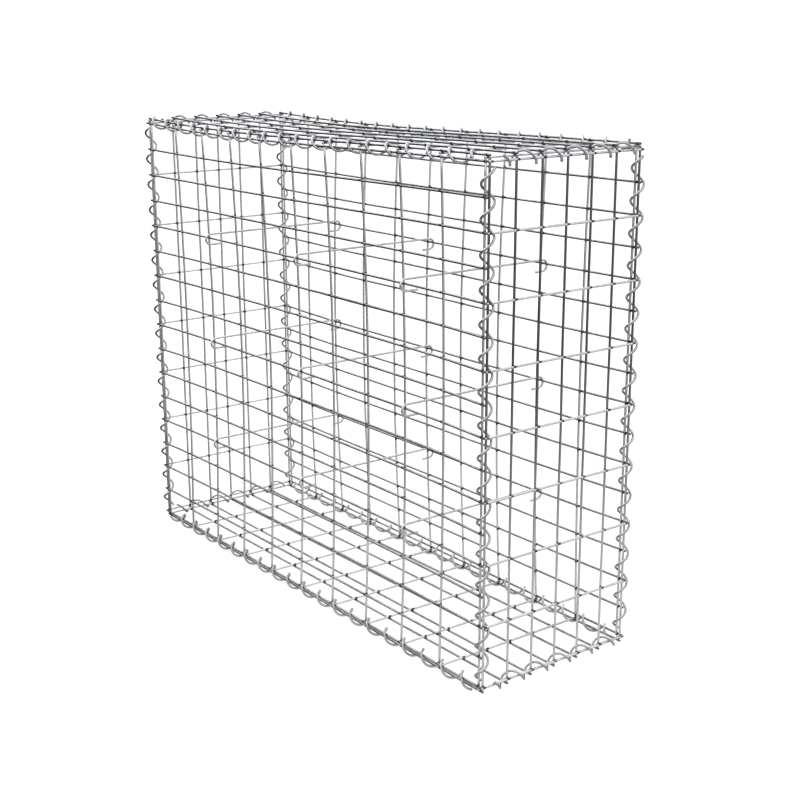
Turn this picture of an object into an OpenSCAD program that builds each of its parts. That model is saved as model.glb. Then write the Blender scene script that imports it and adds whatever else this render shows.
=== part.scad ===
// Gabion basket: six welded mesh panels laced along their twelve edges by
// spiral binders, with nine tie hooks across the depth. Millimetres.
// X runs along the length, Y to the back, Z up, and the ground is at Z = 0.

/* [Mesh] */
// Short side of a mesh cell, wire to wire
mesh_pitch = 50; // [40:5:60]
// Cells along the length, each two short sides long
length_cells = 10; // [6:2:14]
// Cells across the depth, each one short side deep
depth_cells = 6; // [4:1:10]
// Cells up the ends, each two short sides high
height_cells = 8; // [4:2:10]
// Diameter of the mesh wire
wire_d = 4; // [3:0.25:4]
// How deep two wires melt into each other at a weld
weld_sink = 0.4; // [0.2:0.1:0.6]
// Length of wire left past the middle of the last crossing
wire_over = 5; // [3:0.5:6]

/* [Spiral binders] */
// Diameter of the coil, wire middle to wire middle
spiral_d = 19.8; // [19.4:0.2:24]
// Diameter of the spiral's wire
spiral_wire = 4; // [3:0.25:4]
// Distance from a corner to the end of a spiral that lies along an edge
spiral_trim = 16; // [15:1:30]

/* [Tie hooks] */
// Columns of cells between two ties
tie_step = 3; // [1:1:3]
// Diameter of the tie's wire
tie_wire = 4; // [3:0.25:4]
// Diameter of the hook, wire middle to wire middle
tie_hook = 19; // [14:1:24]
// Straight tail that runs back inside from the front hook
tie_tail = 24; // [4:1:30]
// The same at the back hook
tie_back_tail = 15; // [4:1:30]

/* [Fit] */
// Gap between two pieces that rest against each other
fit = 0.3; // [0.2:0.05:0.5]

/* [Hidden] */

zinc = [0.62, 0.63, 0.65];
zinc_dark = [0.5, 0.51, 0.53];

// Mesh sizes between the outermost wires
cell_long = 2 * mesh_pitch;
basket_l = length_cells * cell_long;
basket_d = depth_cells * mesh_pitch;
basket_h = height_cells * cell_long;

// Whole cells are set out evenly over each size
columns = round(length_cells);
ranks = round(depth_cells);
tiers = round(height_cells);
column_l = basket_l / columns;
rank_d = basket_d / ranks;
tier_h = basket_h / tiers;

// A wire is an eight-sided bar with the cross-section area of the round one
bar_flat = wire_d * sqrt(PI / (8 * tan(22.5)));
bar_corner = bar_flat / 2 / cos(22.5);
layer = bar_flat - weld_sink;

// A spiral is a wire of few sides through this many rings a turn, with the area of the round one
rings = 8;
coil_sides = 5;
coil_r = spiral_d / 2;
coil_corner = spiral_wire / 2 * sqrt(2 * PI / (coil_sides * sin(360 / coil_sides)));
coil_flat = coil_corner * cos(180 / coil_sides);

// Two edge wires lie this far from the coil's middle, against its inside
hold_r = coil_r * cos(180 / rings) - coil_flat - bar_corner - fit / 3;
// The wires of an end panel and of the lid or floor lie nearly across the coil, at this slope
edge_slope = 30;
end_apart = 2 * hold_r * 0.98;
end_side = end_apart * cos(edge_slope);
end_rise = end_apart * sin(edge_slope);

// Middle planes of the wires, measured outward from the mesh box
end_upright = end_side - layer;
end_level = end_side;
wall_level = bar_flat + fit + weld_sink / 4;
wall_upright = wall_level - layer;
lid_cross = end_rise;
lid_long = end_rise + layer;
// The uprights of a long wall are cut flush with its edge wires, under the cross wires
wall_over = bar_flat / 2;
// The uprights of an end stop short of the lengthwise wires over them
end_over = min(wire_over, lid_long - bar_flat / 2 - fit);
// The lengthwise wires of the lid and floor stop at the level wires of the ends, those of the
// long walls just short of them
lid_over = end_level - bar_flat / 2;
level_over = lid_over - fit;

// The lengthwise bottom spirals carry the basket
front_axis = pair_axis([-wall_level, 0], [0, -lid_long], 1);
base_z = coil_r + coil_corner - front_axis[1];
mid_z = base_z + basket_h / 2;

// Ends of the mesh box
half_l = basket_l / 2;
half_d = basket_d / 2;
half_h = basket_h / 2;

// Angle of each spiral where it passes the first wire of the mesh
phase_front_top = 318;
phase_front_bottom = 42;
phase_back_top = 220;
phase_back_bottom = 311;
phase_left_top = 252;
phase_left_bottom = 239;
phase_right_top = 262;
phase_right_bottom = 272;
phase_front_left = 20;
phase_front_right = 98;
phase_back_left = 112;
phase_back_right = 68;

// A tie's bend, pulled tight, bears on the level wire at this slope, just beside an upright
tie_seat = 45;
tie_drop = tie_hook / 2;
tie_hold = tie_drop - tie_wire / 2 - bar_corner - fit;
tie_reach = half_d + wall_level - tie_hold * cos(tie_seat);
tie_sink = tie_hold * sin(tie_seat);
tie_side = bar_corner + tie_wire / 2 + 2 * fit;

// Middle of a coil that holds two wires against its inside, on the side asked for
function pair_axis(a, b, side) =
    let (d = b - a, l = norm(d), n = [-d[1], d[0]] / l)
    (a + b) / 2 + side * n * sqrt(max(0, hold_r * hold_r - l * l / 4));

// Points on a coil's ring: axis 0, 1 or 2, place along it, the middle across it, angle
function turned(axis, u, v, w) = axis == 0 ? [u, v, w] : axis == 1 ? [w, u, v] : [v, w, u];
function coil_point(axis, mid, u, t, out, up) =
    turned(axis, u + up, mid[0] + (coil_r + out) * cos(t), mid[1] + (coil_r + out) * sin(t));

// Coil wire between u0 and u1 along an axis, right-handed, at the angle phase where it passes grid
module coil(axis, mid, u0, u1, pitch, phase, grid) {
    rise = atan(pitch / (2 * PI * coil_r));
    step = 360 / rings;
    first = ceil((phase + (u0 - grid) * 360 / pitch) / step);
    last = floor((phase + (u1 - grid) * 360 / pitch) / step);
    n = coil_sides;
    pts = [for (i = [first : last], k = [0 : n - 1])
        let (t = i * step,
             u = grid + (t - phase) * pitch / 360,
             out = coil_corner * cos(360 / n * k),
             across = coil_corner * sin(360 / n * k),
             turn = across * sin(rise) / coil_r * 180 / PI)
        coil_point(axis, mid, u, t - turn, out, across * cos(rise))];
    sides = [for (i = [0 : last - first - 1], k = [0 : n - 1])
        let (a = n * i + k, b = n * i + (k + 1) % n)
        each [[a, b, a + n], [b, b + n, a + n]]];
    caps = [[for (k = [n - 1 : -1 : 0]) k], [for (k = [0 : n - 1]) n * (last - first) + k]];
    polyhedron(points = pts, faces = concat(sides, caps), convexity = 10);
}

// Straight wire along an axis
module bar(axis, length) {
    turn = axis == 0 ? [0, 90, 0] : axis == 1 ? [90, 0, 0] : [0, 0, 0];
    rotate(turn)
        rotate(22.5)
            cylinder(h = length, r = bar_corner, center = true, $fn = 8);
}

// Row of like wires along one axis, set out in steps along another
module row(axis, length, step_axis, count, step, offset) {
    for (i = [0 : count]) {
        along = (i - count / 2) * step;
        translate(offset + along * [step_axis == 0 ? 1 : 0, step_axis == 1 ? 1 : 0, step_axis == 2 ? 1 : 0])
            bar(axis, length);
    }
}

// Long wall: level wires outside, uprights inside
module wall_panel(back) {
    color(zinc)
        translate([0, back * half_d, mid_z]) {
            row(0, basket_l + 2 * level_over, 2, 2 * tiers, tier_h / 2, [0, back * wall_level, 0]);
            row(2, basket_h + 2 * wall_over, 0, columns, column_l, [0, back * wall_upright, 0]);
        }
}

// End wall: level wires outside, uprights inside
module end_panel(right) {
    color(zinc)
        translate([right * half_l, 0, mid_z]) {
            row(1, basket_d + 2 * wire_over, 2, tiers, tier_h, [right * end_level, 0, 0]);
            row(2, basket_h + 2 * end_over, 1, ranks, rank_d, [right * end_upright, 0, 0]);
        }
}

// Lid or floor: lengthwise wires outside, cross wires inside
module flat_panel(top) {
    color(zinc)
        translate([0, 0, mid_z + top * half_h]) {
            row(0, basket_l + 2 * lid_over, 1, ranks, rank_d, [0, 0, top * lid_long]);
            row(1, basket_d + 2 * wire_over, 0, columns, column_l, [0, 0, top * lid_cross]);
        }
}

// Spiral along the length, between a long wall and the lid or floor
module length_spiral(back, top, phase) {
    mid = pair_axis([back * wall_level, 0], [0, top * lid_long], back * top);
    color(zinc_dark)
        coil(0, [back * half_d + mid[0], mid_z + top * half_h + mid[1]],
             -half_l + spiral_trim, half_l - spiral_trim, column_l / 2, phase, -half_l);
}

// Spiral across the depth, between an end wall and the lid or floor
module depth_spiral(right, top, phase) {
    mid = pair_axis([0, right * end_level], [top * lid_cross, 0], -right * top);
    color(zinc_dark)
        coil(1, [mid_z + top * half_h + mid[0], right * half_l + mid[1]],
             -half_d + spiral_trim, half_d - spiral_trim, rank_d, phase, -half_d);
}

// Spiral up a corner, which rests on the level wires of the long wall
module corner_spiral(right, back, phase) {
    mid = [right * end_upright / 2, back * wall_upright / 2];
    color(zinc_dark)
        coil(2, [right * half_l + mid[0], back * half_d + mid[1]],
             base_z + wire_over, base_z + basket_h - wire_over, tier_h / 2, phase, base_z);
}

// Half of a tie: shaft from the middle, bend round the level wire, tail back inside
module tie_half(tail) {
    translate([0, tie_reach, 0]) {
        translate([0, 0, tie_drop])
            rotate([90, 0, 0])
                cylinder(h = tie_reach, d = tie_wire, $fn = 24);
        rotate([0, 90, 0])
            rotate_extrude(angle = 180)
                translate([tie_drop, 0])
                    circle(d = tie_wire, $fn = 24);
        translate([0, 0, -tie_drop])
            rotate([90, 0, 0])
                cylinder(h = tail, d = tie_wire, $fn = 24);
    }
}

// Tie hook across the depth, over a level wire at each end, beside an upright
module tie(column, row) {
    at_x = (column - 1) * round(tie_step) * column_l + tie_side;
    at_z = base_z + tier_h * round(tiers * (row + 1) / 4) - tie_sink;
    color(zinc_dark)
        translate([at_x, 0, at_z]) {
            tie_half(tie_back_tail);
            mirror([0, 1, 0])
                tie_half(tie_tail);
        }
}

wall_panel(-1);  // front_panel
wall_panel(1);  // back_panel
end_panel(-1);  // left_panel
end_panel(1);  // right_panel
flat_panel(1);  // top_panel
flat_panel(-1);  // bottom_panel
length_spiral(-1, 1, phase_front_top);  // spiral_front_top
length_spiral(-1, -1, phase_front_bottom);  // spiral_front_bottom
length_spiral(1, 1, phase_back_top);  // spiral_back_top
length_spiral(1, -1, phase_back_bottom);  // spiral_back_bottom
depth_spiral(-1, 1, phase_left_top);  // spiral_left_top
depth_spiral(-1, -1, phase_left_bottom);  // spiral_left_bottom
depth_spiral(1, 1, phase_right_top);  // spiral_right_top
depth_spiral(1, -1, phase_right_bottom);  // spiral_right_bottom
corner_spiral(-1, -1, phase_front_left);  // spiral_front_left
corner_spiral(1, -1, phase_front_right);  // spiral_front_right
corner_spiral(-1, 1, phase_back_left);  // spiral_back_left
corner_spiral(1, 1, phase_back_right);  // spiral_back_right
tie(0, 0);  // tie_left_low
tie(0, 1);  // tie_left_middle
tie(0, 2);  // tie_left_high
tie(1, 0);  // tie_centre_low
tie(1, 1);  // tie_centre_middle
tie(1, 2);  // tie_centre_high
tie(2, 0);  // tie_right_low
tie(2, 1);  // tie_right_middle
tie(2, 2);  // tie_right_high
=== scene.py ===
# Gabion basket of welded mesh panels, laced along its edges by spiral binders and braced by
# tie hooks. Metres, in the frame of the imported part: X along the length, Y to the back, Z up.
import math

import bmesh
import bpy
from mathutils import Matrix, Vector, noise


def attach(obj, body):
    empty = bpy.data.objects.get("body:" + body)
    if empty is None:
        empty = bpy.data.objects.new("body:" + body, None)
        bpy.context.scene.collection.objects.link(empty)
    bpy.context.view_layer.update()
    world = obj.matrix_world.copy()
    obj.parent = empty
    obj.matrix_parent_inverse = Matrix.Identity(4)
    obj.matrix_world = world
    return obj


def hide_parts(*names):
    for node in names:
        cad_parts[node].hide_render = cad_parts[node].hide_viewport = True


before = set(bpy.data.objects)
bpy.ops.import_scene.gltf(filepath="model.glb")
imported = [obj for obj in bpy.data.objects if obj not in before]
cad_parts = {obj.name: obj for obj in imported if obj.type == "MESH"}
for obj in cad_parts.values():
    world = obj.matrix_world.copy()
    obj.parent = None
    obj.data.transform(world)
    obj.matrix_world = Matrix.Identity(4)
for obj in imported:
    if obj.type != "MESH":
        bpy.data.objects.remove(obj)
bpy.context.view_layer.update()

# Floor panel. Drawn, galvanised steel wire: seven lengthwise wires, darkened with painted shade, lie
# below eleven cross wires and are resistance welded to them at every crossing, in cells of 10 by 5 cm.
# The wires are nipped off a little past the last weld.
WIRE = 0.004
WIRE_SIDES = 12
LONG_CELL = 0.1
SHORT_CELL = 0.05
HALF_LENGTH = 0.5
HALF_DEPTH = 0.15
BASE = 0.01562
HEIGHT = 0.8
MIDDLE = BASE + HEIGHT / 2
LAYER = 0.0034947
CROSS_OUT = 0.004977
LONG_OUT = CROSS_OUT + LAYER
CROSS_OVERHANG = 0.005
LONG_OVERHANG = 0.00667
LENGTH_CUTS = 40
NIP_WEAR = WIRE * 0.12
WELD_SQUEEZE = WIRE * 0.36
WELD_SPREAD = WIRE * 0.62
FIRST_ROW = 0
WELDS = 1
SECOND_ROW = 2


def wire_mesh(length, axis, cuts=0, finish=FIRST_ROW):
    """A round wire along an axis, middle at the origin, its ends nipped square and a little worn."""
    shape = bmesh.new()
    bmesh.ops.create_cone(shape, cap_ends=True, segments=WIRE_SIDES, radius1=WIRE / 2,
                          radius2=WIRE / 2, depth=length)
    sides = [e for e in shape.edges if abs(e.verts[0].co.z - e.verts[1].co.z) > WIRE]
    rims = [e for e in shape.edges if e not in sides]
    if cuts:
        bmesh.ops.subdivide_edges(shape, edges=sides, cuts=cuts, use_grid_fill=True)
    bmesh.ops.bevel(shape, geom=rims, offset=NIP_WEAR, affect="EDGES", segments=2,
                    profile=0.5, material=-1)
    if axis < 2:
        turn = Matrix.Rotation(math.radians(90), 4, "Y" if axis == 0 else "X")
        bmesh.ops.transform(shape, matrix=turn, verts=shape.verts)
    for face in shape.faces:
        face.material_index = finish
    return shape


def weld_mesh(across):
    """The squeezed, burnt metal between two crossing wires. across is the axis of the squeeze."""
    shape = bmesh.new()
    sizes = [WELD_SQUEEZE if axis == across else WELD_SPREAD for axis in range(3)]
    bmesh.ops.create_uvsphere(shape, u_segments=8, v_segments=5, radius=1.0,
                              matrix=Matrix.Diagonal((*sizes, 1.0)))
    for face in shape.faces:
        face.material_index = WELDS
    return shape


def set_out(mesh, shape, places):
    """Adds a copy of shape to mesh at each place."""
    data = bpy.data.meshes.new("pattern")
    shape.to_mesh(data)
    shape.free()
    at = Vector((0, 0, 0))
    for place in places:
        data.transform(Matrix.Translation(Vector(place) - at))
        at = Vector(place)
        mesh.from_mesh(data)
    bpy.data.meshes.remove(data)


SPANGLE_SHARE = 0.55
STREAK_SHARE = 0.45
WEAR = 0.1
# Burnt zinc round the welds, made near black partly as painted contact shade where the wires cross.
BURN_SHADE_CORE = 0.0048
BURN_SHADE_EDGE = 0.007
BURN_SHADE_RAGGED = 0.006
BURN_ROUGH = 0.25
SCORCH_AND_SHADE = (0.02, 0.0195, 0.0195, 1.0)


def zinc_wire(name, pale, dull, rough, welds=None, painted_shade=None):
    """Galvanised wire: mottled zinc with drawing lines, and burnt patches at the welds, partly painted
    shade.
    welds is ((axis, first, pitch), (axis, first, pitch)) of the two rows of crossing wires.
    The last argument, (low, high, share), paints shade upwards: the zinc keeps this share of its tone
    above high."""
    mat = bpy.data.materials.new(name)
    mat.use_nodes = True
    tree = mat.node_tree
    shader = tree.nodes["Principled BSDF"]
    shader.inputs["Metallic"].default_value = 1.0

    def node(kind, **values):
        made = tree.nodes.new(kind)
        for key, value in values.items():
            setattr(made, key, value)
        return made

    where = node("ShaderNodeTexCoord").outputs["Object"]
    spangle = node("ShaderNodeTexNoise")
    spangle.inputs["Scale"].default_value = 140.0
    spangle.inputs["Detail"].default_value = 4.0
    spangle.inputs["Roughness"].default_value = 0.65
    tree.links.new(where, spangle.inputs["Vector"])
    streak = node("ShaderNodeTexNoise")
    streak.inputs["Scale"].default_value = 18.0
    streak.inputs["Detail"].default_value = 3.0
    tree.links.new(where, streak.inputs["Vector"])
    both = node("ShaderNodeMath", operation="MULTIPLY_ADD")
    both.inputs[1].default_value = SPANGLE_SHARE
    tree.links.new(spangle.outputs["Fac"], both.inputs[0])
    half = node("ShaderNodeMath", operation="MULTIPLY")
    half.inputs[1].default_value = STREAK_SHARE
    tree.links.new(streak.outputs["Fac"], half.inputs[0])
    tree.links.new(half.outputs[0], both.inputs[2])
    tones = node("ShaderNodeValToRGB")
    tones.color_ramp.elements[0].position = 0.36
    tones.color_ramp.elements[0].color = (*dull, 1.0)
    tones.color_ramp.elements[1].position = 0.64
    tones.color_ramp.elements[1].color = (*pale, 1.0)
    tree.links.new(both.outputs[0], tones.inputs["Fac"])
    colour = tones.outputs["Color"]
    if painted_shade or welds:
        split = node("ShaderNodeSeparateXYZ")
        tree.links.new(where, split.inputs["Vector"])
    # painted shade: the zinc darkens upwards
    if painted_shade:
        shade_share = node("ShaderNodeMapRange")
        shade_share.inputs["From Min"].default_value = painted_shade[0]
        shade_share.inputs["From Max"].default_value = painted_shade[1]
        shade_share.inputs["To Min"].default_value = 1.0
        shade_share.inputs["To Max"].default_value = painted_shade[2]
        tree.links.new(split.outputs["Z"], shade_share.inputs["Value"])
        scaled = node("ShaderNodeVectorMath", operation="SCALE")
        tree.links.new(colour, scaled.inputs[0])
        tree.links.new(shade_share.outputs["Result"], scaled.inputs["Scale"])
        colour = scaled.outputs["Vector"]
    worn = node("ShaderNodeMapRange")
    worn.inputs["From Min"].default_value = 0.3
    worn.inputs["From Max"].default_value = 0.7
    worn.inputs["To Min"].default_value = rough + WEAR
    worn.inputs["To Max"].default_value = rough - WEAR
    tree.links.new(both.outputs[0], worn.inputs["Value"])
    gloss = worn.outputs["Result"]

    if welds:
        # distance to the nearest crossing of the two rows of wires
        near = node("ShaderNodeCombineXYZ")
        for slot, (axis, first, pitch) in enumerate(welds):
            moved = node("ShaderNodeMath", operation="SUBTRACT")
            moved.inputs[1].default_value = first
            tree.links.new(split.outputs[axis], moved.inputs[0])
            fold = node("ShaderNodeMath", operation="PINGPONG")
            fold.inputs[1].default_value = pitch / 2
            tree.links.new(moved.outputs[0], fold.inputs[0])
            tree.links.new(fold.outputs[0], near.inputs[slot])
        far = node("ShaderNodeVectorMath", operation="LENGTH")
        tree.links.new(near.outputs["Vector"], far.inputs[0])
        ragged = node("ShaderNodeMath", operation="MULTIPLY_ADD")
        ragged.inputs[1].default_value = BURN_SHADE_RAGGED
        tree.links.new(spangle.outputs["Fac"], ragged.inputs[0])
        tree.links.new(far.outputs["Value"], ragged.inputs[2])
        # burnt zinc near each crossing, darkened partly as painted contact shade
        burn_and_shade = node("ShaderNodeMapRange")
        burn_and_shade.inputs["From Min"].default_value = BURN_SHADE_CORE
        burn_and_shade.inputs["From Max"].default_value = BURN_SHADE_EDGE
        burn_and_shade.inputs["To Min"].default_value = 0.92
        burn_and_shade.inputs["To Max"].default_value = 0.0
        tree.links.new(ragged.outputs[0], burn_and_shade.inputs["Value"])
        scorched_and_shaded = node("ShaderNodeMix", data_type="RGBA")
        tree.links.new(burn_and_shade.outputs["Result"], scorched_and_shaded.inputs["Factor"])
        tree.links.new(colour, scorched_and_shaded.inputs["A"])
        scorched_and_shaded.inputs["B"].default_value = SCORCH_AND_SHADE
        colour = scorched_and_shaded.outputs["Result"]
        dulled = node("ShaderNodeMath", operation="MULTIPLY_ADD", use_clamp=True)
        dulled.inputs[1].default_value = BURN_ROUGH
        tree.links.new(burn_and_shade.outputs["Result"], dulled.inputs[0])
        tree.links.new(gloss, dulled.inputs[2])
        gloss = dulled.outputs[0]

    tree.links.new(colour, shader.inputs["Base Color"])
    tree.links.new(gloss, shader.inputs["Roughness"])
    relief = node("ShaderNodeBump")
    relief.inputs["Strength"].default_value = 0.25
    relief.inputs["Distance"].default_value = 0.0003
    tree.links.new(both.outputs[0], relief.inputs["Height"])
    tree.links.new(relief.outputs["Normal"], shader.inputs["Normal"])
    return mat


def burnt_and_shaded_weld():
    """Weld metal: the zinc is burnt off it, leaving a dark, rough, scaly grey, made near black partly
    as painted shade.
    """
    mat = bpy.data.materials.new("burnt_and_shaded_weld")
    mat.use_nodes = True
    tree = mat.node_tree
    shader = tree.nodes["Principled BSDF"]
    shader.inputs["Metallic"].default_value = 0.7
    where = tree.nodes.new("ShaderNodeTexCoord")
    scale = tree.nodes.new("ShaderNodeTexNoise")
    scale.inputs["Scale"].default_value = 420.0
    scale.inputs["Detail"].default_value = 3.0
    tree.links.new(where.outputs["Object"], scale.inputs["Vector"])
    # near-black tones: burnt scale, partly painted contact shade between the wires
    tones = tree.nodes.new("ShaderNodeValToRGB")
    tones.color_ramp.elements[0].position = 0.35
    tones.color_ramp.elements[0].color = (0.006, 0.006, 0.0065, 1.0)
    tones.color_ramp.elements[1].position = 0.7
    tones.color_ramp.elements[1].color = (0.05, 0.049, 0.048, 1.0)
    tree.links.new(scale.outputs["Fac"], tones.inputs["Fac"])
    tree.links.new(tones.outputs["Color"], shader.inputs["Base Color"])
    worn = tree.nodes.new("ShaderNodeMapRange")
    worn.inputs["To Min"].default_value = 0.75
    worn.inputs["To Max"].default_value = 0.45
    tree.links.new(scale.outputs["Fac"], worn.inputs["Value"])
    tree.links.new(worn.outputs["Result"], shader.inputs["Roughness"])
    relief = tree.nodes.new("ShaderNodeBump")
    relief.inputs["Strength"].default_value = 0.5
    relief.inputs["Distance"].default_value = 0.0004
    tree.links.new(scale.outputs["Fac"], relief.inputs["Height"])
    tree.links.new(relief.outputs["Normal"], shader.inputs["Normal"])
    return mat


SHARP_ANGLE = math.radians(50)


def place_piece(name, mesh, finishes, node):
    """Makes the mesh an object that stands for a node of the part and rides on it."""
    bmesh.ops.recalc_face_normals(mesh, faces=mesh.faces)
    data = bpy.data.meshes.new(name)
    mesh.to_mesh(data)
    mesh.free()
    data.shade_smooth()
    data.set_sharp_from_angle(angle=SHARP_ANGLE)
    for finish in finishes:
        data.materials.append(finish)
    piece = bpy.data.objects.new(name, data)
    bpy.context.scene.collection.objects.link(piece)
    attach(piece, "root")
    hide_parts(node)


def stations(half, pitch):
    """Places of a row of wires, from -half to half."""
    count = round(2 * half / pitch)
    return [-half + pitch * i for i in range(count + 1)]


PALE_ZINC = (0.74, 0.744, 0.755)
DULL_ZINC = (0.54, 0.544, 0.556)
# Lengthwise wires: the same zinc, darkened with painted shade.
PALE_SHADED_LONG = (0.25, 0.252, 0.26)
DULL_SHADED_LONG = (0.14, 0.141, 0.147)
MESH_ROUGH = 0.28
# The weld nuggets are near black, partly painted contact shade.
shaded_weld_metal = burnt_and_shaded_weld()


def flat_panel(side):
    """A level panel: lengthwise wires outside, cross wires inside. side is 1 up and -1 down."""
    edge = MIDDLE + side * HEIGHT / 2
    long_z, cross_z = edge + side * LONG_OUT, edge + side * CROSS_OUT
    across, along = stations(HALF_DEPTH, SHORT_CELL), stations(HALF_LENGTH, LONG_CELL)
    mesh = bmesh.new()
    set_out(mesh, wire_mesh(2 * (HALF_LENGTH + LONG_OVERHANG), 0, LENGTH_CUTS, SECOND_ROW),
            [(0, y, long_z) for y in across])
    set_out(mesh, wire_mesh(2 * (HALF_DEPTH + CROSS_OVERHANG), 1), [(x, 0, cross_z) for x in along])
    set_out(mesh, weld_mesh(2), [(x, y, (long_z + cross_z) / 2) for x in along for y in across])
    return mesh


flat_welds = ((0, 0.0, LONG_CELL), (1, 0.0, SHORT_CELL))
flat_zinc = zinc_wire("flat_panel_zinc", PALE_ZINC, DULL_ZINC, MESH_ROUGH, flat_welds)
flat_long_shaded_zinc = zinc_wire("flat_panel_long_shaded_zinc", PALE_SHADED_LONG, DULL_SHADED_LONG, MESH_ROUGH, flat_welds)
place_piece("floor_mesh", flat_panel(-1), [flat_zinc, shaded_weld_metal, flat_long_shaded_zinc],
            "bottom_panel")

# Long walls, front and back. The same wire: seventeen level wires outside, darkened with painted
# shade, eleven uprights inside, welded at every crossing. The ties pull both walls in by about a
# centimetre in the middle, so the wires bow between the laced edges, and the top edge hangs a little.
LEVEL_OUT = 0.0042947
UPRIGHT_OUT = LEVEL_OUT - LAYER
LEVEL_OVERHANG = 0.00637
UPRIGHT_OVERHANG = 0.00195
FRONT_BOW = 0.0109
BACK_BOW = 0.0117
SAG = 0.0065
SAG_REACH = 0.08
SAG_SKEW = 0.9
EDGE_INSET = 0.003
PALE_UPRIGHT = (0.84, 0.844, 0.855)
DULL_UPRIGHT = (0.62, 0.624, 0.637)
WAVER = 0.0009
WAVER_SCALE = 7.0
WAVER_SHIFT = 3.0
WAVER_SEED = 7
HEIGHT_CUTS = 32


def wall_bow(side, x, z):
    """How far a long wall is pulled in at a place."""
    along = min(1.0, abs(x) / HALF_LENGTH)
    up = max(-1.0, min(1.0, (z - MIDDLE) / (HEIGHT / 2)))
    return (FRONT_BOW if side < 0 else BACK_BOW) * (1 - up * up) * (1 - along ** 4)


def sag(x, z):
    """How far the top edge hangs at a place, less and less further down a wall."""
    reach = x / HALF_LENGTH
    along = max(0.0, 1 - reach * reach) * (1 - SAG_SKEW * reach)
    return SAG * along * math.exp(-max(0.0, BASE + HEIGHT - z) / SAG_REACH)


def slack(across, z, half):
    """Smooth share from the laced edges, where wires stay put, to the middle of a panel."""
    along = max(0.0, 1 - (across / half) ** 2)
    up = max(0.0, 1 - ((z - MIDDLE) / (HEIGHT / 2)) ** 2)
    return along * up


def long_wall(name, node, side):
    """A long wall, bowed by its ties. side is -1 at the front and 1 at the back."""
    level_y = side * (HALF_DEPTH + LEVEL_OUT)
    upright_y = side * (HALF_DEPTH + UPRIGHT_OUT)
    rows = [MIDDLE + up for up in stations(HEIGHT / 2, SHORT_CELL)]
    along = stations(HALF_LENGTH, LONG_CELL)
    along[0] += EDGE_INSET
    along[-1] -= EDGE_INSET
    mesh = bmesh.new()
    set_out(mesh, wire_mesh(2 * (HALF_LENGTH + LEVEL_OVERHANG), 0, LENGTH_CUTS, SECOND_ROW),
            [(0, level_y, z) for z in rows])
    set_out(mesh, wire_mesh(HEIGHT + 2 * UPRIGHT_OVERHANG, 2, HEIGHT_CUTS),
            [(x, upright_y, MIDDLE) for x in along])
    set_out(mesh, weld_mesh(1), [(x, (level_y + upright_y) / 2, z) for x in along for z in rows])
    for vert in mesh.verts:
        x, _, z = vert.co
        loose = slack(x, z, HALF_LENGTH) * WAVER
        drift = noise.noise_vector((x * WAVER_SCALE, side * WAVER_SHIFT, z * WAVER_SCALE))
        vert.co.y -= side * wall_bow(side, x, z)
        vert.co.x += loose * drift.x
        vert.co.z += loose * drift.z - sag(x, z)
    place_piece(name, mesh, [wall_zinc, shaded_weld_metal, wall_long_shaded_zinc], node)


wall_welds = ((0, 0.0, LONG_CELL), (2, BASE, SHORT_CELL))
wall_zinc = zinc_wire("long_wall_zinc", PALE_UPRIGHT, DULL_UPRIGHT, MESH_ROUGH, wall_welds)
# The level wires get the same dark zinc, painted shade.
wall_long_shaded_zinc = zinc_wire("long_wall_long_shaded_zinc", PALE_SHADED_LONG, DULL_SHADED_LONG, MESH_ROUGH, wall_welds)
noise.seed_set(WAVER_SEED)
long_wall("front_mesh", "front_panel", -1)
long_wall("back_mesh", "back_panel", 1)

# End panels. The same wire: nine level wires outside, seven uprights inside, in cells of 5 by
# 10 cm. Their uprights reach a little past the edge wires, between the wires of the lid, and
# those of the right end are darkened towards the top with painted shade.
END_LEVEL_OUT = 0.0086206
END_UPRIGHT_OUT = END_LEVEL_OUT - LAYER
END_OVERHANG = 0.005
DEPTH_CUTS = 12
RIGHT_ROUGH = 0.3
RIGHT_PAINTED_SHADE = (0.12, 0.52, 0.24)


def end_panel(name, node, side, upright_zinc):
    """An end panel. side is -1 at the left and 1 at the right."""
    level_x = side * (HALF_LENGTH + END_LEVEL_OUT)
    upright_x = side * (HALF_LENGTH + END_UPRIGHT_OUT)
    rows = [MIDDLE + up for up in stations(HEIGHT / 2, LONG_CELL)]
    across = stations(HALF_DEPTH, SHORT_CELL)
    mesh = bmesh.new()
    set_out(mesh, wire_mesh(2 * (HALF_DEPTH + END_OVERHANG), 1, DEPTH_CUTS),
            [(level_x, 0, z) for z in rows])
    set_out(mesh, wire_mesh(HEIGHT + 2 * END_OVERHANG, 2, HEIGHT_CUTS, SECOND_ROW),
            [(upright_x, y, MIDDLE) for y in across])
    set_out(mesh, weld_mesh(0), [((level_x + upright_x) / 2, y, z) for y in across for z in rows])
    for vert in mesh.verts:
        _, y, z = vert.co
        loose = slack(y, z, HALF_DEPTH) * WAVER
        drift = noise.noise_vector((side * WAVER_SHIFT, y * WAVER_SCALE, z * WAVER_SCALE))
        vert.co += drift * loose
    place_piece(name, mesh, [end_zinc, shaded_weld_metal, upright_zinc], node)


end_welds = ((1, 0.0, SHORT_CELL), (2, BASE, LONG_CELL))
end_zinc = zinc_wire("end_panel_zinc", PALE_ZINC, DULL_ZINC, MESH_ROUGH, end_welds)
left_zinc = zinc_wire("left_upright_zinc", PALE_UPRIGHT, DULL_UPRIGHT, MESH_ROUGH, end_welds)
# The right end's uprights carry painted shade, darker towards the top.
right_shaded_zinc = zinc_wire("right_upright_shaded_zinc", PALE_UPRIGHT, DULL_UPRIGHT, RIGHT_ROUGH, end_welds,
                       RIGHT_PAINTED_SHADE)
end_panel("left_mesh", "left_panel", -1, left_zinc)
end_panel("right_mesh", "right_panel", 1, right_shaded_zinc)

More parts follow.
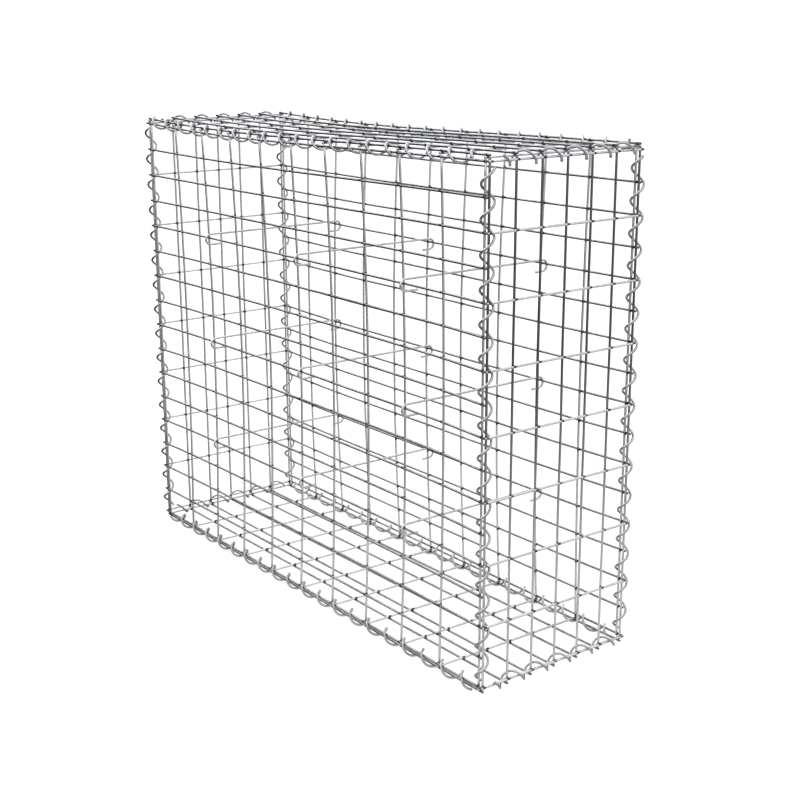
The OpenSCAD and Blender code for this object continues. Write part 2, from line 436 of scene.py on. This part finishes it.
# Lid. A panel like the floor, turned over: its lengthwise wires lie on top of the cross wires.
# Empty, it hangs a little along its length, most of it left of the middle.
lid = flat_panel(1)
for vert in lid.verts:
    vert.co.z -= sag(vert.co.x, vert.co.z)
# The lid's lengthwise wires carry the same painted shade as the floor's.
place_piece("lid_mesh", lid, [flat_zinc, shaded_weld_metal, flat_long_shaded_zinc], "top_panel")

# Spiral binders. Hard galvanised wire wound right-handed to the pitch of the mesh and screwed
# in from one end, so each turn passes round the edge wires of both panels.
COIL = 0.00975
COIL_SIDES = 12
TURN_STEPS = 32
RING = 45
COIL_HOLD = 0.0050787
END_TRIM = 0.016
CORNER_TRIM = 0.005
PALE_SPIRAL = (0.5, 0.504, 0.516)
DULL_SPIRAL = (0.31, 0.313, 0.323)
SPIRAL_ROUGH = 0.18
TOP = BASE + HEIGHT


def coil_middle(a, b, side):
    """Middle of a coil that holds two edge wires, given across it, against its inside."""
    a, b = Vector(a), Vector(b)
    run = b - a
    out = Vector((-run.y, run.x)).normalized()
    rise = math.sqrt(max(0.0, COIL_HOLD ** 2 - run.length_squared / 4))
    return (a + b) / 2 + out * side * rise


def spiral(name, node, axis, middle, first, last, phase, grid):
    """A coil along an axis, at the angle phase where it passes grid, from first to last."""
    turn_from = math.ceil((phase + (first - grid) * 360 / SHORT_CELL) / RING) * RING
    turn_to = math.floor((phase + (last - grid) * 360 / SHORT_CELL) / RING) * RING
    steps = round((turn_to - turn_from) / 360 * TURN_STEPS)
    along = Vector([float(i == axis) for i in range(3)])
    out = Vector([float(i == (axis + 1) % 3) for i in range(3)])
    centre = Vector((0.0, 0.0, 0.0))
    centre[(axis + 1) % 3], centre[(axis + 2) % 3] = middle
    start = centre + along * (grid + (turn_from - phase) * SHORT_CELL / 360)
    rise = math.atan2(SHORT_CELL, 2 * math.pi * COIL)
    place = (Matrix.Translation(start) @ Matrix.Rotation(math.radians(turn_from), 4, along)
             @ Matrix.Translation(out * COIL) @ Matrix.Rotation(rise, 4, out))
    mesh = bmesh.new()
    ring = bmesh.ops.create_circle(mesh, segments=COIL_SIDES, radius=WIRE / 2)
    # the ring's own normal, Z, is turned to the way the wire runs
    facing = Vector((0, 0, 1)).rotation_difference(along.cross(out)).to_matrix().to_4x4()
    bmesh.ops.transform(mesh, matrix=place @ facing, verts=ring["verts"])
    bmesh.ops.spin(mesh, geom=mesh.verts[:] + mesh.edges[:], cent=centre, axis=along,
                   dvec=along * ((turn_to - turn_from) * SHORT_CELL / 360 / steps),
                   angle=math.radians(turn_to - turn_from), steps=steps,
                   use_merge=False, use_duplicate=False)
    rims = [e for e in mesh.edges if e.is_boundary]
    bmesh.ops.holes_fill(mesh, edges=rims, sides=0)
    bmesh.ops.bevel(mesh, geom=rims, offset=NIP_WEAR, affect="EDGES", segments=2,
                    profile=0.5, material=-1)
    if axis == 0:
        for vert in mesh.verts:
            vert.co.z -= sag(vert.co.x, centre.z)
    place_piece(name, mesh, [spiral_zinc], node)


spiral_zinc = zinc_wire("spiral_zinc", PALE_SPIRAL, DULL_SPIRAL, SPIRAL_ROUGH)
for back, top, phase in ((-1, 1, 318), (-1, -1, 42), (1, 1, 220), (1, -1, 311)):
    label = ("back" if back > 0 else "front") + ("_top" if top > 0 else "_bottom")
    across = coil_middle((back * LEVEL_OUT, 0), (0, top * LONG_OUT), back * top)
    edge = Vector((back * HALF_DEPTH, TOP if top > 0 else BASE))
    spiral("coil_" + label, "spiral_" + label, 0, edge + across,
           -HALF_LENGTH + END_TRIM, HALF_LENGTH - END_TRIM, phase, -HALF_LENGTH)
for right, top, phase in ((-1, 1, 252), (-1, -1, 239), (1, 1, 262), (1, -1, 272)):
    label = ("right" if right > 0 else "left") + ("_top" if top > 0 else "_bottom")
    across = coil_middle((0, right * END_LEVEL_OUT), (top * CROSS_OUT, 0), -right * top)
    edge = Vector((TOP if top > 0 else BASE, right * HALF_LENGTH))
    spiral("coil_" + label, "spiral_" + label, 1, edge + across,
           -HALF_DEPTH + END_TRIM, HALF_DEPTH - END_TRIM, phase, -HALF_DEPTH)
for right, back, phase in ((-1, -1, 20), (1, -1, 98), (-1, 1, 112), (1, 1, 68)):
    label = ("back" if back > 0 else "front") + ("_right" if right > 0 else "_left")
    edge = Vector((right * (HALF_LENGTH + END_UPRIGHT_OUT / 2),
                   back * (HALF_DEPTH + UPRIGHT_OUT / 2)))
    spiral("coil_" + label, "spiral_" + label, 2, edge,
           BASE + CORNER_TRIM, TOP - CORNER_TRIM, phase, BASE)

# Tie hooks. Soft galvanised wire cut to the depth of the basket, with each end bent by hand
# round a level wire of a long wall, so that the fill can't push the walls apart.
HOOK = 0.0095
FRONT_TAIL = 0.024
BACK_TAIL = 0.015
SEAT = 0.0036
TIE_SIDE = 0.0047
BEND_STEPS = 14
SHAFT_STEPS = 12
PALE_TIE = (0.66, 0.664, 0.675)
DULL_TIE = (0.46, 0.464, 0.475)
TIE_ROUGH = 0.3


def tie_hook(name, node, x, z):
    """A tie drawn from its front tail: a bend, the shaft across the depth, a bend, the back tail."""
    mesh = bmesh.new()
    ring = bmesh.ops.create_circle(mesh, segments=COIL_SIDES, radius=WIRE / 2)
    front = -(HALF_DEPTH + LEVEL_OUT - SEAT) + wall_bow(-1, x, z)
    back = HALF_DEPTH + LEVEL_OUT - SEAT - wall_bow(1, x, z)
    bend_z = z - SEAT
    stand = Matrix.Rotation(math.radians(90), 4, "X")
    start = Matrix.Translation((x, front + FRONT_TAIL, bend_z - HOOK))
    bmesh.ops.transform(mesh, matrix=start @ stand, verts=ring["verts"])
    tip = mesh.edges[:]

    def pull(edges, by):
        made = bmesh.ops.extrude_edge_only(mesh, edges=edges)["geom"]
        bmesh.ops.translate(mesh, vec=by, verts=[g for g in made if isinstance(g, bmesh.types.BMVert)])
        return [g for g in made if isinstance(g, bmesh.types.BMEdge)
                and all(v in made for v in g.verts)]

    def bend(edges, y):
        made = bmesh.ops.spin(mesh, geom=edges, cent=(x, y, bend_z), axis=(1, 0, 0), dvec=(0, 0, 0),
                              angle=math.radians(-180), steps=BEND_STEPS,
                              use_merge=False, use_duplicate=False)["geom_last"]
        return [g for g in made if isinstance(g, bmesh.types.BMEdge)]

    tip = pull(tip, (0, -FRONT_TAIL, 0))
    tip = bend(tip, front)
    for _ in range(SHAFT_STEPS):
        tip = pull(tip, (0, (back - front) / SHAFT_STEPS, 0))
    tip = bend(tip, back)
    pull(tip, (0, -BACK_TAIL, 0))
    rims = [e for e in mesh.edges if e.is_boundary]
    bmesh.ops.holes_fill(mesh, edges=rims, sides=0)
    bmesh.ops.bevel(mesh, geom=rims, offset=NIP_WEAR, affect="EDGES", segments=2,
                    profile=0.5, material=-1)
    place_piece(name, mesh, [tie_zinc], node)


tie_zinc = zinc_wire("tie_zinc", PALE_TIE, DULL_TIE, TIE_ROUGH)
for column, x in (("left", -0.3), ("centre", 0.0), ("right", 0.3)):
    for row, up in (("low", 0.2), ("middle", 0.4), ("high", 0.6)):
        tie_hook(f"brace_{column}_{row}", f"tie_{column}_{row}", x + TIE_SIDE, BASE + up)

# Studio. A plain white floor and backdrop in even room light. On the left the wires mirror a
# dark low wall with bright light over it, and a shaded floor. One soft light hangs above.
FLOOR_REACH = 60.0
FRONT_SHADE = ((0.8, -0.6, 0), 0.5, 1.4, 0.68, 0.38)
LEFT_SHADE = ((0.8, 0.6, 0), -0.6, -0.2, 0.1, 1.0)
WALL_EDGE = (-0.68, -0.5)
WALL_TOP = (0.25, 0.5)
WALL_LIGHT = (0.1, 4.0)
ROOM_LIGHT = 1.15
BACKDROP_LIGHT = 1.05
LAMP_PLACE = Vector((0.3, 0.0, 4.2))
LAMP_SIZE = 4.5
LAMP_POWER = 30

floor_mesh = bmesh.new()
bmesh.ops.create_grid(floor_mesh, x_segments=1, y_segments=1, size=FLOOR_REACH)
floor_data = bpy.data.meshes.new("studio_floor")
floor_mesh.to_mesh(floor_data)
floor_mesh.free()
studio_floor = bpy.data.objects.new("studio_floor", floor_data)
bpy.context.scene.collection.objects.link(studio_floor)
paper = bpy.data.materials.new("white_paper")
paper.use_nodes = True
tree = paper.node_tree
sheet = tree.nodes["Principled BSDF"]
sheet.inputs["Base Color"].default_value = (0.3, 0.3, 0.3, 1.0)
sheet.inputs["Roughness"].default_value = 0.9
sheet.inputs["Specular IOR Level"].default_value = 0.0
sheet.inputs["Emission Color"].default_value = (1.0, 1.0, 1.0, 1.0)
sheet.inputs["Emission Strength"].default_value = 0.8
place = tree.nodes.new("ShaderNodeTexCoord")
bounce = tree.nodes.new("ShaderNodeEmission")
share = tree.nodes.new("ShaderNodeMath")
share.operation = "MULTIPLY"
for slot, (way, start, stop, first, last) in enumerate((FRONT_SHADE, LEFT_SHADE)):
    run = tree.nodes.new("ShaderNodeVectorMath")
    run.operation = "DOT_PRODUCT"
    run.inputs[1].default_value = way
    tree.links.new(place.outputs["Object"], run.inputs[0])
    fade = tree.nodes.new("ShaderNodeMapRange")
    fade.inputs["From Min"].default_value = start
    fade.inputs["From Max"].default_value = stop
    fade.inputs["To Min"].default_value = first
    fade.inputs["To Max"].default_value = last
    tree.links.new(run.outputs["Value"], fade.inputs["Value"])
    tree.links.new(fade.outputs["Result"], share.inputs[slot])
tree.links.new(share.outputs["Value"], bounce.inputs["Strength"])
path = tree.nodes.new("ShaderNodeLightPath")
pick = tree.nodes.new("ShaderNodeMixShader")
tree.links.new(path.outputs["Is Camera Ray"], pick.inputs["Fac"])
tree.links.new(bounce.outputs["Emission"], pick.inputs[1])
tree.links.new(sheet.outputs["BSDF"], pick.inputs[2])
tree.links.new(pick.outputs["Shader"], tree.nodes["Material Output"].inputs["Surface"])
floor_data.materials.append(paper)

world = bpy.data.worlds.new("studio")
bpy.context.scene.world = world
world.use_nodes = True
sky = world.node_tree
room = sky.nodes["Background"]
room.inputs["Color"].default_value = (0.97, 0.98, 1.0, 1.0)
place = sky.nodes.new("ShaderNodeTexCoord")
split = sky.nodes.new("ShaderNodeSeparateXYZ")
sky.links.new(place.outputs["Generated"], split.inputs["Vector"])
ceiling = sky.nodes.new("ShaderNodeMapRange")
ceiling.inputs["From Min"].default_value = WALL_TOP[0]
ceiling.inputs["From Max"].default_value = WALL_TOP[1]
ceiling.inputs["To Min"].default_value = WALL_LIGHT[0]
ceiling.inputs["To Max"].default_value = WALL_LIGHT[1]
sky.links.new(split.outputs["Z"], ceiling.inputs["Value"])
backdrop = sky.nodes.new("ShaderNodeMapRange")
backdrop.inputs["From Min"].default_value = WALL_EDGE[0]
backdrop.inputs["From Max"].default_value = WALL_EDGE[1]
sky.links.new(split.outputs["X"], backdrop.inputs["Value"])
around = sky.nodes.new("ShaderNodeMix")
around.inputs["B"].default_value = ROOM_LIGHT
sky.links.new(backdrop.outputs["Result"], around.inputs["Factor"])
sky.links.new(ceiling.outputs["Result"], around.inputs["A"])
sky.links.new(around.outputs["Result"], room.inputs["Strength"])
seen = sky.nodes.new("ShaderNodeBackground")
seen.inputs["Color"].default_value = (1.0, 1.0, 1.0, 1.0)
seen.inputs["Strength"].default_value = BACKDROP_LIGHT
path = sky.nodes.new("ShaderNodeLightPath")
pick = sky.nodes.new("ShaderNodeMixShader")
sky.links.new(path.outputs["Is Camera Ray"], pick.inputs["Fac"])
sky.links.new(room.outputs["Background"], pick.inputs[1])
sky.links.new(seen.outputs["Background"], pick.inputs[2])
sky.links.new(pick.outputs["Shader"], sky.nodes["World Output"].inputs["Surface"])

lamp = bpy.data.lights.new("light_above", "AREA")
lamp.shape = "RECTANGLE"
lamp.size = LAMP_SIZE
lamp.size_y = LAMP_SIZE
lamp.energy = LAMP_POWER
light_above = bpy.data.objects.new("light_above", lamp)
light_above.location = LAMP_PLACE
light_above.rotation_euler = (Vector((0, 0, 0)) - LAMP_PLACE).to_track_quat("-Z", "Y").to_euler()
light_above.visible_camera = False
bpy.context.scene.collection.objects.link(light_above)

# Camera, about a metre up, to the right of the basket's front, with the photograph's narrow view.
# The tones are kept as they are rendered.
view = bpy.data.cameras.new("camera")
view.sensor_width = 36.0
view.lens = 61.454
view.clip_end = 200.0
camera = bpy.data.objects.new("camera", view)
camera.location = (1.94803, -1.40456, 0.99599)
camera.rotation_euler = [math.radians(a) for a in (74.6927, 0.1945, 52.6994)]
bpy.context.scene.collection.objects.link(camera)
bpy.context.scene.camera = camera
bpy.context.scene.view_settings.view_transform = "Standard"
